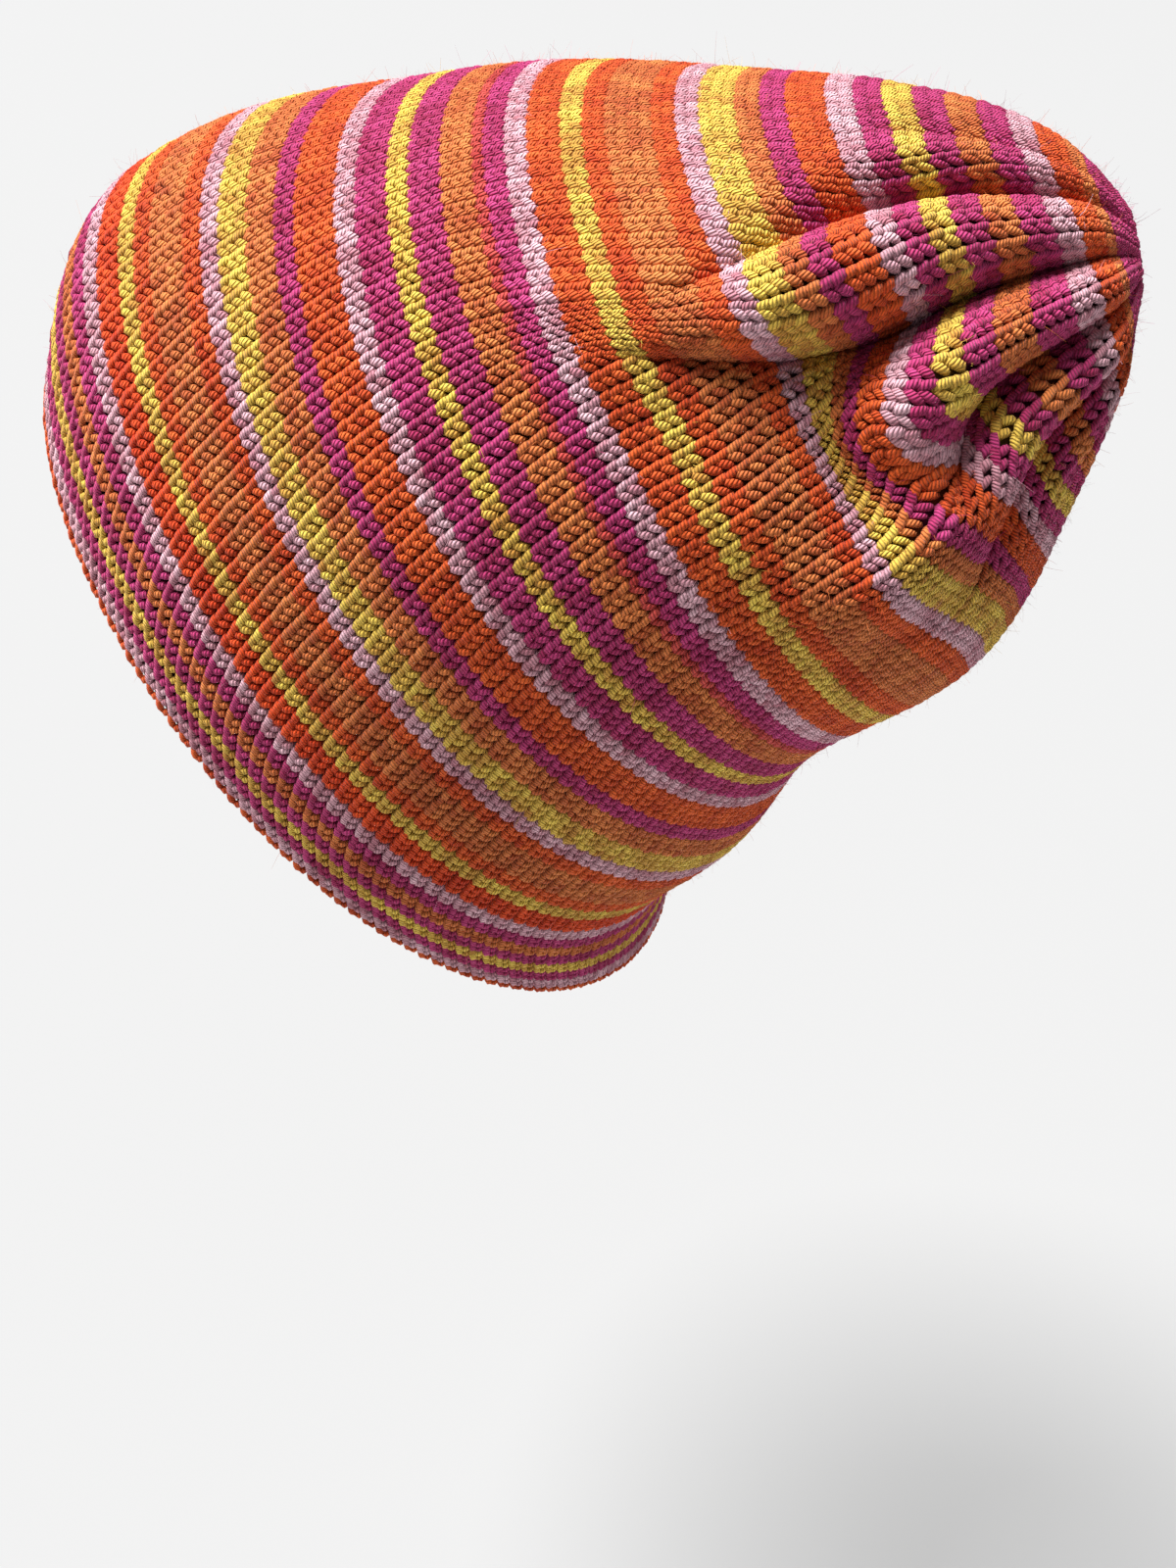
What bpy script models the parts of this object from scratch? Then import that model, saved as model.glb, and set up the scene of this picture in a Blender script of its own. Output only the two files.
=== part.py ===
"""Slouchy knitted nightcap in plain knit, drawn together at the tip, standing as it does when worn.

Units are metres, +Z is up and the brow faces -Y. The origin is the centre of the rim opening.
"""

import math

import bmesh
import bpy
import numpy as np

# Driving sizes
RIM_WIDTH = 0.155  # outside of the rim, ear to ear
RIM_LENGTH = 0.212  # outside of the rim, brow to nape along its slope
RIM_SLOPE = 48.0  # degrees that the rim falls from brow to nape
BACK_REACH = 0.152  # rim centre to drawn tip, backwards
TIP_RISE = 0.106  # rim centre to drawn tip, upwards
KNIT_WALL = 0.0025  # one layer of the knit
HEM_WALL = 0.005  # the hem, which is turned up double
HEM_GAP = 0.0004  # between the hem and the crown
GROOVE_DEPTH = 0.0008  # how far both edges dip where they meet
GROOVE_ROWS = 1.5  # how far that dip spreads to each side
TUCK_DEPTH = 0.004  # how far the drawn tip is sunk at its middle

# Knitted rows, counted from the rim
HEM_TOP_ROW = 17.5
TIP_ROW = 110.0
HOLLOW_END_ROW = 100.0

# Each section is a sloping oval. back is a share of BACK_REACH, up of TIP_RISE, half_width and ear_drop of half
# RIM_WIDTH, half_length of half RIM_LENGTH. lean is degrees added to RIM_SLOPE, and brow_taper narrows the brow end.
SECTION_COLUMNS = ("row", "back", "up", "lean", "half_width", "half_length", "brow_taper", "ear_drop")
SECTIONS = (
    (0, 0.00, 0.00, 0, 1.00, 1.00, 0.12, 0.065),
    (9, 0.05, 0.20, 4, 1.04, 0.995, 0.15, 0.10),
    (18, 0.127, 0.325, 6, 1.055, 0.96, 0.12, 0.09),
    (28, 0.24, 0.425, 6.5, 1.06, 0.92, 0.04, 0.10),
    (42, 0.37, 0.565, 7, 1.075, 0.80, -0.02, 0.05),
    (58, 0.51, 0.675, 9, 1.03, 0.695, 0.00, -0.025),
    (73, 0.68, 0.765, 7, 0.96, 0.60, -0.06, -0.05),
    (86, 0.805, 0.89, 7, 0.77, 0.44, -0.03, -0.025),
    (92, 0.865, 0.94, 10, 0.64, 0.355, -0.02, -0.01),
    (98, 0.925, 0.975, 15, 0.49, 0.255, -0.01, -0.04),
    (104, 0.965, 0.99, 21, 0.33, 0.175, 0.00, -0.025),
    (110, 1.00, 1.00, 27, 0.17, 0.08, 0.00, 0.00),
)

# Valleys between the pleats of the drawn end. Angles are degrees round the section from the wearer's left ear
# towards the brow. A valley opens at first_row, is full at full_row, and sinks by a share of the radius.
VALLEY_COLUMNS = ("start_angle", "end_angle", "first_row", "full_row", "depth")
VALLEYS = (
    (-82, -72, 88, 99, 0.42),
    (-52, -45, 84, 97, 0.45),
    (-26, -22, 76, 93, 0.50),
    (-9, 0, 80, 92, 0.54),
    (31, 24, 60, 88, 0.56),
    (38, 53, 65, 92, 0.42),
    (68, 72, 84, 98, 0.24),
    (106, 102, 87, 99, 0.32),
    (133, 128, 81, 96, 0.44),
    (160, 154, 72, 92, 0.50),
    (186, 181, 77, 93, 0.50),
    (211, 207, 80, 94, 0.48),
    (238, 234, 84, 97, 0.44),
)
PLEAT_ROUNDNESS = 2.2

# Broad dents (positive depth, a share of the radius) and swells (negative depth) of the slack knit
DENT_COLUMNS = ("row", "angle", "half_rows", "half_angle", "depth")
DENTS = (
    (77, 10, 13, 22, 0.15),
    (80, 38, 15, 17, -0.06),
    (75, -11, 15, 13, -0.055),
    (62, 35, 12, 13, -0.025),
    (66, 19, 10, 14, 0.04),
)

# Where the slack knit sinks into a dent, its rows lag by this many rows
LAG_COLUMNS = ("row", "angle", "half_rows", "half_angle", "rows")
LAGS = (
    (84, 8, 16, 25, 6.0),
    (76, -38, 14, 22, -1.6),
)

# Mesh stations along the rows, and steps across one pleat
CROWN_ROWS = (18.6, 21, 25, 30, 36, 42, 48, 54, 60, 65, 69, 73, 76.5, 80, 83, 86, 88.5, 91, 93.5, 96,
              98, 100, 102, 104, 106, 108, 109.3, TIP_ROW)
HOLLOW_ROWS = (18.6, 23, 30, 37, 44, 51, 58, 64, 69, 73, 77, 81, 85, 88.5, 91.5, 94, 96.5, 98.5, HOLLOW_END_ROW)
HEM_ROWS = (0.5, 4, 8, 12.5, 16.4)
FOLD_STEPS = 4
PLEAT_STEPS = 6
EROSION_STEPS = 5
MOST_SLANT = 2.0
LEAST_RADIUS = 1e-6

# Loops across the sunk tip: each one's share of the last row's size, and of TUCK_DEPTH
TUCK_LOOPS = ((0.6, 0.25), (0.3, 0.8))

COLLECTION = "nightcap"
CROWN_COLOUR = (0.62, 0.14, 0.07, 1.0)
HEM_COLOUR = (0.47, 0.07, 0.16, 1.0)
YARN_ROUGHNESS = 0.9


def column(rows, columns, name):
    """One named column of a table as an array."""
    place = columns.index(name)
    return np.array([row[place] for row in rows], dtype=float)


def named(rows, columns):
    """The rows of a table, each as a dictionary of its named columns."""
    return [dict(zip(columns, row)) for row in rows]


def smooth_curve(knots, values):
    """A natural cubic spline through the values, as a function of the knots' axis."""
    steps = np.diff(knots)
    count = len(knots)
    matrix = np.eye(count)
    bends = np.zeros(count)
    for i in range(1, count - 1):
        matrix[i, i - 1 : i + 2] = steps[i - 1], 2 * (steps[i - 1] + steps[i]), steps[i]
        bends[i] = 6 * ((values[i + 1] - values[i]) / steps[i] - (values[i] - values[i - 1]) / steps[i - 1])
    second = np.linalg.solve(matrix, bends)

    def value_at(x):
        x = np.asarray(x, dtype=float)
        i = np.clip(np.searchsorted(knots, x) - 1, 0, count - 2)
        left, right, step = x - knots[i], knots[i + 1] - x, steps[i]
        curve = (second[i] * right**3 + second[i + 1] * left**3) / (6 * step)
        chord_left = (values[i] / step - second[i] * step / 6) * right
        chord_right = (values[i + 1] / step - second[i + 1] * step / 6) * left
        return curve + chord_left + chord_right

    return value_at


SECTION_KNOTS = column(SECTIONS, SECTION_COLUMNS, "row")
SECTION_CURVES = {
    name: smooth_curve(SECTION_KNOTS, column(SECTIONS, SECTION_COLUMNS, name)) for name in SECTION_COLUMNS[1:]
}


def ease(share):
    """0 to 1 with level ends."""
    share = np.clip(share, 0.0, 1.0)
    return share * share * (3 - 2 * share)


def swell(distance, half_width):
    """1 at the middle, falling to 0 at half_width on both sides."""
    return np.cos(np.clip(np.abs(distance) / half_width, 0, 1) * math.pi / 2) ** 2


def turn(degrees):
    """The same angle between -180 and 180."""
    return (degrees + 180) % 360 - 180


def valley_lines(row):
    """Angles and depths of all valleys at each row, with the first one repeated a full turn on."""
    start, end, first, full, depth = (column(VALLEYS, VALLEY_COLUMNS, name) for name in VALLEY_COLUMNS)
    opened = ease((np.asarray(row, dtype=float)[..., None] - first) / (full - first))
    angles = start + (end - start) * opened
    depths = depth * opened
    angles = np.concatenate([angles, angles[..., :1] + 360], axis=-1)
    return angles, np.concatenate([depths, depths[..., :1]], axis=-1)


def pleat_share(row, degrees):
    """Radius left by the pleats, as a share: round ridges that meet in sharp valleys."""
    row, degrees = np.broadcast_arrays(np.asarray(row, dtype=float), np.asarray(degrees, dtype=float))
    angles, depths = valley_lines(row)
    degrees = angles[..., 0] + (degrees - angles[..., 0]) % 360
    pleat = np.clip((degrees[..., None] >= angles).sum(axis=-1) - 1, 0, len(VALLEYS) - 1)[..., None]
    low = np.take_along_axis(angles, pleat, -1)[..., 0]
    high = np.take_along_axis(angles, pleat + 1, -1)[..., 0]
    low_depth = np.take_along_axis(depths, pleat, -1)[..., 0]
    high_depth = np.take_along_axis(depths, pleat + 1, -1)[..., 0]
    across = np.clip((2 * degrees - low - high) / (high - low), -1, 1)
    depth = low_depth + (high_depth - low_depth) * ease((across + 1) / 2)
    arch = (1 - np.abs(across) ** PLEAT_ROUNDNESS) ** (1 / PLEAT_ROUNDNESS)
    return 1 - depth * (1 - arch)


def radius_share(row, degrees):
    """Radius left by pleats, dents and swells together."""
    share = pleat_share(row, degrees)
    for dent in named(DENTS, DENT_COLUMNS):
        along = swell(row - dent["row"], dent["half_rows"])
        share = share - dent["depth"] * along * swell(turn(degrees - dent["angle"]), dent["half_angle"])
    return share


def lagged_row(row, degrees):
    """The section that a knitted row lies on once the slack has pulled it."""
    section = row + 0.0 * degrees
    for lag in named(LAGS, LAG_COLUMNS):
        along = swell(row - lag["row"], lag["half_rows"])
        section = section - lag["rows"] * along * swell(turn(degrees - lag["angle"]), lag["half_angle"])
    return section


def section_sizes(section):
    """Centre, slope and half sizes of the oval at each section, in metres and radians."""
    value = {name: curve(section) for name, curve in SECTION_CURVES.items()}
    slope = np.radians(RIM_SLOPE + value["lean"])
    width = RIM_WIDTH / 2 * value["half_width"]
    length = RIM_LENGTH / 2 * value["half_length"]
    drop = RIM_WIDTH / 2 * value["ear_drop"]
    return BACK_REACH * value["back"], TIP_RISE * value["up"], slope, width, length, value["brow_taper"], drop


def wall_slant(section):
    """How much longer the wall is across the oval than square to the cloth, where the sections shrink fast."""
    near, far = section_sizes(section - 1), section_sizes(section + 1)
    shrink = (near[3] + near[4] - far[3] - far[4]) / 2
    advance = np.hypot(far[0] - near[0], far[1] - near[1])
    return np.clip(np.hypot(1, shrink / advance), 1, MOST_SLANT)


def place(section, degrees, share, inset=0.0, lift=0.0):
    """A point of the cloth: share scales the oval's radius, inset shortens it, lift moves it along the axis."""
    back, up, slope, width, length, taper, drop = section_sizes(section)
    angle = np.radians(degrees)
    across = width * np.cos(angle) * (1 - taper * np.sin(angle)) * share
    along = length * np.sin(angle) * share
    radius = np.maximum(np.hypot(across, along), LEAST_RADIUS)
    kept = np.maximum(1 - inset / radius, 0.0)
    along, across = along * kept, across * kept
    rise = lift - drop * np.cos(angle) ** 2
    y = back - np.cos(slope) * along + np.sin(slope) * rise
    z = up + np.sin(slope) * along + np.cos(slope) * rise
    return np.stack([across, y, z], axis=-1)


def outer_point(row, degrees, inset=0.0, lift=0.0):
    """A point on the outside of the knit."""
    return place(lagged_row(row, degrees), degrees, radius_share(row, degrees), inset, lift)


def inner_point(row, degrees, wall, lift=0.0):
    """A point on the inside, a wall's thickness in from the nearest outside."""
    section = lagged_row(row, degrees)
    _, _, _, width, length, _, _ = section_sizes(section)
    radius = np.sqrt(width * length)
    wall = wall * wall_slant(section)
    reach = np.degrees(wall / radius)
    share = np.full(np.shape(section), np.inf)
    for step in np.linspace(-1, 1, EROSION_STEPS):
        thickness = wall * math.sqrt(1 - step * step)
        share = np.minimum(share, radius_share(row, degrees + step * reach) - thickness / radius)
    return place(section, degrees, share, lift=lift)


def column_angles(row):
    """Angles of the mesh columns at one row: they follow the valleys and crowd towards them."""
    angles, _ = valley_lines(np.array(row))
    across = 0.5 - 0.5 * np.cos(np.pi * np.arange(PLEAT_STEPS) / PLEAT_STEPS)
    return np.concatenate([low + (high - low) * across for low, high in zip(angles[:-1], angles[1:])])


def ring(make_point, row, *sizes, **moves):
    """One closed loop of points at one row."""
    return make_point(row, column_angles(row), *sizes, **moves)


def groove(row):
    """Depth of the dip at the hem line."""
    return GROOVE_DEPTH * swell(row - HEM_TOP_ROW, GROOVE_ROWS)


def crown_rings():
    """Loops of the crown from its sunk tip over the outside, round the lower edge and up the inside."""
    outside = [ring(outer_point, row, groove(row)) for row in CROWN_ROWS]
    tip = ring(outer_point, TIP_ROW)
    middle = tip.mean(axis=0)
    _, _, slope, *_ = section_sizes(TIP_ROW)
    axis = np.array([0.0, math.sin(slope), math.cos(slope)])
    tucked = [middle + (tip - middle) * share - axis * TUCK_DEPTH * sunk for share, sunk in TUCK_LOOPS]
    lip_out = ring(outer_point, HEM_TOP_ROW, groove(HEM_TOP_ROW), lift=HEM_GAP / 2)
    lip_in = ring(inner_point, HEM_TOP_ROW, KNIT_WALL, lift=HEM_GAP / 2)
    inside = [ring(inner_point, row, KNIT_WALL) for row in HOLLOW_ROWS]
    end = middle - axis * TUCK_DEPTH
    return tucked[::-1] + outside[::-1] + [lip_out, lip_in] + inside, end, inside[-1].mean(axis=0)


def hem_rings():
    """Loops of the hem round its section: up the outside, over the top, down the inside, round the fold."""
    outside = [ring(outer_point, row, groove(row)) for row in HEM_ROWS]
    top_out = ring(outer_point, HEM_TOP_ROW, groove(HEM_TOP_ROW), lift=-HEM_GAP / 2)
    top_in = ring(inner_point, HEM_TOP_ROW, HEM_WALL, lift=-HEM_GAP / 2)
    inside = [ring(inner_point, row, HEM_WALL) for row in HEM_ROWS[::-1]]
    low_out, low_in = outside[0], inside[-1]
    centre = (low_out + low_in) / 2
    half = (low_out - low_in) / 2
    _, _, slope, *_ = section_sizes(0.0)
    down = -np.array([0.0, math.sin(slope), math.cos(slope)]) * HEM_WALL / 2
    turns = np.pi * np.arange(1, FOLD_STEPS) / FOLD_STEPS
    fold = [centre - half * math.cos(t) + down * math.sin(t) for t in turns]
    return outside + [top_out, top_in] + inside + fold


def loft(rings, closed, start=None, end=None):
    """A closed mesh through the loops: closed joins the last to the first, else a point ends each side."""
    mesh = bmesh.new()
    loops = [[mesh.verts.new(point) for point in loop] for loop in rings]
    pairs = list(zip(loops, loops[1:]))
    if closed:
        pairs.append((loops[-1], loops[0]))
    for lower, upper in pairs:
        for i, corner in enumerate(lower):
            j = (i + 1) % len(lower)
            mesh.faces.new((corner, lower[j], upper[j], upper[i]))
    for point, loop in ((start, loops[0]), (end, loops[-1])):
        if point is not None:
            pole = mesh.verts.new(point)
            for i, corner in enumerate(loop):
                mesh.faces.new((corner, loop[(i + 1) % len(loop)], pole))
    bmesh.ops.triangulate(mesh, faces=mesh.faces)
    bmesh.ops.recalc_face_normals(mesh, faces=mesh.faces)
    return mesh


def add_part(name, mesh, colour, collection):
    """Turns a mesh into a named, smooth-shaded object with its own yarn material."""
    data = bpy.data.meshes.new(name)
    mesh.to_mesh(data)
    mesh.free()
    data.shade_smooth()
    material = bpy.data.materials.new(name + "_yarn")
    material.use_nodes = True
    shader = material.node_tree.nodes["Principled BSDF"]
    shader.inputs["Base Color"].default_value = colour
    shader.inputs["Roughness"].default_value = YARN_ROUGHNESS
    shader.inputs["Metallic"].default_value = 0.0
    data.materials.append(material)
    part = bpy.data.objects.new(name, data)
    collection.objects.link(part)
    return part


def main():
    for old in list(bpy.data.objects):
        bpy.data.objects.remove(old, do_unlink=True)
    collection = bpy.data.collections.new(COLLECTION)
    bpy.context.scene.collection.children.link(collection)
    rings, tip, hollow_end = crown_rings()
    add_part("crown", loft(rings, False, tip, hollow_end), CROWN_COLOUR, collection)
    add_part("hem_band", loft(hem_rings(), True), HEM_COLOUR, collection)


main()
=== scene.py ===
"""Looks of the knitted nightcap: every stitch is a pair of yarn legs laid on the form of the CAD model.

Units are metres, +Z is up and the brow faces -Y. The origin is the centre of the rim opening.
"""

import math

import bpy
import numpy as np
from mathutils import Matrix, Vector


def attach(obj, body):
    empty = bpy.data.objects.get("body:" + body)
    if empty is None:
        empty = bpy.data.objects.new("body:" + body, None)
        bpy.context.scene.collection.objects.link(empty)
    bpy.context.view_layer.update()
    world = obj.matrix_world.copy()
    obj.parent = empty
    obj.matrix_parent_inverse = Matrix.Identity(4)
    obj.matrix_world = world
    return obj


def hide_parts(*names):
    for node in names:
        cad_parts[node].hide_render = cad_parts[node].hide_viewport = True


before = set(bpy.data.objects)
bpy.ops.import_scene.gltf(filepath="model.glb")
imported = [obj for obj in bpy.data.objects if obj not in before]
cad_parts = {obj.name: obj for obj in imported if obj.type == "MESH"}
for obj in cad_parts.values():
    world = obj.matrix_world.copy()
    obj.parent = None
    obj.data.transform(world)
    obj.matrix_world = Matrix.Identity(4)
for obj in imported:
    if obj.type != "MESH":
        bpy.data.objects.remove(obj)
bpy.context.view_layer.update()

# The cap's form, with the sizes and tables of the CAD model
RIM_WIDTH = 0.155
RIM_LENGTH = 0.212
RIM_SLOPE = 48.0
BACK_REACH = 0.152
TIP_RISE = 0.106
KNIT_WALL = 0.0025
HEM_WALL = 0.005
TUCK_DEPTH = 0.004
HEM_TOP_ROW = 17.5
HEM_LIP_ROWS = (17.4, 17.8)  # the inside steps from the hem's wall to the crown's between these
TIP_ROW = 110.0
HOLLOW_END_ROW = 100.0
SECTION_COLUMNS = ("row", "back", "up", "lean", "half_width", "half_length", "brow_taper", "ear_drop")
SECTIONS = (
    (0, 0.00, 0.00, 0, 1.00, 1.00, 0.12, 0.065),
    (9, 0.05, 0.20, 4, 1.04, 0.995, 0.15, 0.10),
    (18, 0.127, 0.325, 6, 1.055, 0.96, 0.12, 0.09),
    (28, 0.24, 0.425, 6.5, 1.06, 0.92, 0.04, 0.10),
    (42, 0.37, 0.565, 7, 1.075, 0.80, -0.02, 0.05),
    (58, 0.51, 0.675, 9, 1.03, 0.695, 0.00, -0.025),
    (73, 0.68, 0.765, 7, 0.96, 0.60, -0.06, -0.05),
    (86, 0.805, 0.89, 7, 0.77, 0.44, -0.03, -0.025),
    (92, 0.865, 0.94, 10, 0.64, 0.355, -0.02, -0.01),
    (98, 0.925, 0.975, 15, 0.49, 0.255, -0.01, -0.04),
    (104, 0.965, 0.99, 21, 0.33, 0.175, 0.00, -0.025),
    (110, 1.00, 1.00, 27, 0.17, 0.08, 0.00, 0.00),
)
VALLEY_COLUMNS = ("start_angle", "end_angle", "first_row", "full_row", "depth")
VALLEYS = (
    (-82, -72, 88, 99, 0.42),
    (-52, -45, 84, 97, 0.45),
    (-26, -22, 76, 93, 0.50),
    (-9, 0, 80, 92, 0.54),
    (31, 24, 60, 88, 0.56),
    (38, 53, 65, 92, 0.42),
    (68, 72, 84, 98, 0.24),
    (106, 102, 87, 99, 0.32),
    (133, 128, 81, 96, 0.44),
    (160, 154, 72, 92, 0.50),
    (186, 181, 77, 93, 0.50),
    (211, 207, 80, 94, 0.48),
    (238, 234, 84, 97, 0.44),
)
PLEAT_ROUNDNESS = 2.2
DENT_COLUMNS = ("row", "angle", "half_rows", "half_angle", "depth")
DENTS = (
    (77, 10, 13, 22, 0.15),
    (80, 38, 15, 17, -0.06),
    (75, -11, 15, 13, -0.055),
    (62, 35, 12, 13, -0.025),
    (66, 19, 10, 14, 0.04),
)
LAG_COLUMNS = ("row", "angle", "half_rows", "half_angle", "rows")
LAGS = (
    (84, 8, 16, 25, 6.0),
    (76, -38, 14, 22, -1.6),
)
EROSION_STEPS = 5
MOST_SLANT = 2.0

# The knit
WALES = 144
SLACK_PITCH = 0.0032  # width of one wale where nothing stretches it
DRIFT_ROWS = (0, 20, 45, 70, 110)
DRIFT_WALES = (0.0, 1.6, 4.0, 7.5, 7.5)  # how far the wales lean round the cap by these rows
DRIFT_FADES = ((-205, 0.0), (-45, 1.0), (15, 1.0), (155, 0.0))  # share of that lean round the section
GATHER_SHARPNESS = 6.0  # how suddenly the spare wales crowd together towards a valley
MOST_ROOM = 1.35  # a pleat that holds too few wales keeps them slack up to this share of its room
FOLDED_DEPTH = 0.30  # a pleat this deep hides all its spare wales
HIDDEN_PITCH = 0.0011  # stitches narrower than this are out of sight in a fold

# Yarn colours in linear light, and the rows knitted with each from the rim's fold to the tip
YARNS = {
    "orange": (0.72, 0.100, 0.020),
    "flame": (0.76, 0.072, 0.014),
    "copper": (0.67, 0.175, 0.048),
    "coral": (0.58, 0.065, 0.055),
    "yellow": (0.77, 0.470, 0.078),
    "magenta": (0.49, 0.040, 0.155),
    "pink": (0.70, 0.360, 0.420),
}
STRIPES = (
    ("orange", 1), ("pink", 2), ("magenta", 2), ("yellow", 2), ("magenta", 2), ("copper", 2), ("magenta", 2),
    ("pink", 2), ("flame", 3), ("yellow", 2), ("orange", 2), ("copper", 4), ("orange", 2), ("pink", 2),
    ("yellow", 3), ("copper", 3), ("magenta", 2), ("orange", 4), ("pink", 2), ("magenta", 3), ("yellow", 2),
    ("magenta", 3), ("copper", 3), ("coral", 1), ("magenta", 2), ("pink", 2), ("orange", 3), ("yellow", 2),
    ("orange", 2), ("copper", 4), ("orange", 2), ("pink", 2), ("yellow", 3), ("copper", 2), ("magenta", 2),
    ("orange", 3), ("pink", 2), ("magenta", 2), ("yellow", 2), ("magenta", 2), ("copper", 2), ("magenta", 2),
    ("pink", 2), ("orange", 3), ("copper", 2), ("magenta", 9),
)
ROW_YARNS = [name for name, count in STRIPES for _ in range(count)]
YARN_NAMES = list(YARNS)

# The pieces that the stitches are gathered in: name, first row and the row after the last
BANDS = (("hem_knit", 0, 18), ("crown_knit_low", 18, 40), ("crown_knit_middle", 40, 62),
         ("crown_knit_high", 62, 85), ("crown_knit_tip", 85, 113))

# The two legs of a stitch: place across the wale and up the row, height over the cloth and half width, in shares
# of the wale, of the row and of the yarn's radius
LEG_COLUMNS = ("across", "up", "height", "half_width")
CORD_LEG = (
    (0.60, -0.64, -0.10, 0.82),
    (0.665, -0.28, 0.52, 1.02),
    (0.715, 0.06, 0.66, 1.05),
    (0.76, 0.42, 0.50, 1.02),
    (0.80, 0.84, -0.20, 0.82),
)
LOBE_LEG = (
    (0.57, -0.64, -0.40, 0.78),
    (0.46, -0.34, 0.36, 0.98),
    (0.29, 0.00, 0.62, 1.04),
    (0.12, 0.35, 0.36, 0.96),
    (-0.01, 0.64, -0.55, 0.74),
)
YARN_RADII = (0.00040, 0.00088)  # least and most half width of a leg
CORD_ROOM = (0.220, 0.52)  # half width of a leg, in shares of the wale and of the row, whichever is less
LOBE_ROOM = (0.235, 0.42)
YARN_FLATNESS = 0.85
AROUND = np.radians((-12, 52, 128, 192))  # where the points of a leg lie round its upper side
HIGHEST = 1.35  # the top of a leg over the cloth, in yarn radii
WANDER_ACROSS, WANDER_UP = 0.018, 0.03  # how unevenly the legs lie, in shares of the wale and of the row
UNEVEN_RADIUS = 0.05  # in shares of the radius
UNEVEN_HEIGHT = 0.00004
TALLEST_ROW = 0.0023  # a row is filled with one stitch for each such length that the cloth is pulled to
MOST_FILLED = 4
STRAND_PITCH = 0.0006  # one strand of the ply, along the yarn
STRANDS_ROUND = 2.0  # strands seen across the yarn's upper side
TINT_SPREAD = 0.12  # how much the dye differs from leg to leg
GROUND_DEPTH = 0.0006  # the closed cloth lies this far under the stitches' middle
PURL_CLOSING = (0.72, 0.45, 0.20, 0.02)  # loops that close the end of the hollow, as shares of its last loop
FIBRES = 18000  # loose fibres that stand off the yarn
FIBRE_LENGTH = (0.0008, 0.0026)
FIBRE_WIDTH = 0.00006
FIBRE_STATIONS = 4
FIBRE_LEANS = (0.1, 1.0)  # from lying to standing
LYING_LENGTH = 0.4  # a lying fibre's length, as a share of a standing one's
FIBRE_BEND = 0.6
FIBRE_TWIST = 0.3
FIBRE_TINT = 0.1
FIBRE_START = 0.9  # where the fibres leave the yarn, in the widest yarn's radii over the cloth
FIBRE_TAPER = 0.6

# Placing the wales on the sections
PLEAT_SAMPLES = 61
TOP_ANGLE = 90.0  # the wales are counted from here
FORMING_ROW = 78.0  # the oval here and the pleats at GATHER_ROW settle how many wales each pleat holds
GATHER_ROW = 95.0
PLEATED_SHARE = 0.65  # how much the pleats at GATHER_ROW count in that
GATHER_ROWS = (45.0, 88.0)  # the wales drift to their pleats between these rows
ROW_STEP = 0.25
WALE_STEP = 0.25
FIRST_ROW = -1.0
TUCK_ROWS = 3.0  # rows that turn in over the sunk tip
TUCK_MOUTH = 0.06  # what is left of the tip's size where the last of them meets
TUCK_STEEPNESS = 1.5  # the tip is fully sunk after 1 / TUCK_STEEPNESS of those rows
LAST_ROW = TIP_ROW + TUCK_ROWS
GRID_ROWS = np.arange(FIRST_ROW, LAST_ROW + 0.01, ROW_STEP)
GRID_WALES = np.arange(0, WALES, WALE_STEP)

# Darkest and lightest dye in the yarn, and in the cloth under it with painted shade, as shares of the yarn's colour
YARN_DARK = (0.76, 0.56, 0.60)
YARN_LIGHT = (1.22, 1.42, 1.38)
# The cloth under the stitches is painted about three times darker than its yarn: painted shade between the stitches,
# over the dye's spread
GROUND_SHADED_DARK_DYE = (0.26, 0.20, 0.22)
GROUND_SHADED_LIGHT_DYE = (0.38, 0.34, 0.36)

# Floor, light and camera
FLOOR_HEIGHT = -0.50
FLOOR_HALF = 20.0
FLOOR_COLOUR = (0.39, 0.39, 0.39)
FLOOR_ROUGHNESS = 0.95
CAMERA_PLACE = (0.2490, 0.0980, 0.1715)
CAMERA_AZIMUTH, CAMERA_ELEVATION = 101.3, 39.7
CAMERA_LENS = 27.0
CAMERA_SENSOR = 36.0
SUN_FROM = (-0.08, -0.38, 0.92)
SUN_STRENGTH = 7.2
SUN_SPREAD = 32.0
SKY_STRENGTH = 0.13


def column(rows, columns, name):
    """One named column of a table as an array."""
    place = columns.index(name)
    return np.array([row[place] for row in rows], dtype=float)


def named(rows, columns):
    """The rows of a table, each as a dictionary of its named columns."""
    return [dict(zip(columns, row)) for row in rows]


def smooth_curve(knots, values):
    """A natural cubic spline through the values, as a function of the knots' axis."""
    steps = np.diff(knots)
    count = len(knots)
    matrix = np.eye(count)
    bends = np.zeros(count)
    for i in range(1, count - 1):
        matrix[i, i - 1 : i + 2] = steps[i - 1], 2 * (steps[i - 1] + steps[i]), steps[i]
        bends[i] = 6 * ((values[i + 1] - values[i]) / steps[i] - (values[i] - values[i - 1]) / steps[i - 1])
    second = np.linalg.solve(matrix, bends)

    def value_at(x):
        x = np.asarray(x, dtype=float)
        i = np.clip(np.searchsorted(knots, x) - 1, 0, count - 2)
        left, right, step = x - knots[i], knots[i + 1] - x, steps[i]
        curve = (second[i] * right**3 + second[i + 1] * left**3) / (6 * step)
        chord_left = (values[i] / step - second[i] * step / 6) * right
        chord_right = (values[i + 1] / step - second[i + 1] * step / 6) * left
        return curve + chord_left + chord_right

    return value_at


SECTION_KNOTS = column(SECTIONS, SECTION_COLUMNS, "row")
SECTION_CURVES = {
    name: smooth_curve(SECTION_KNOTS, column(SECTIONS, SECTION_COLUMNS, name)) for name in SECTION_COLUMNS[1:]
}


def ease(share):
    """0 to 1 with level ends."""
    share = np.clip(share, 0.0, 1.0)
    return share * share * (3 - 2 * share)


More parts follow.
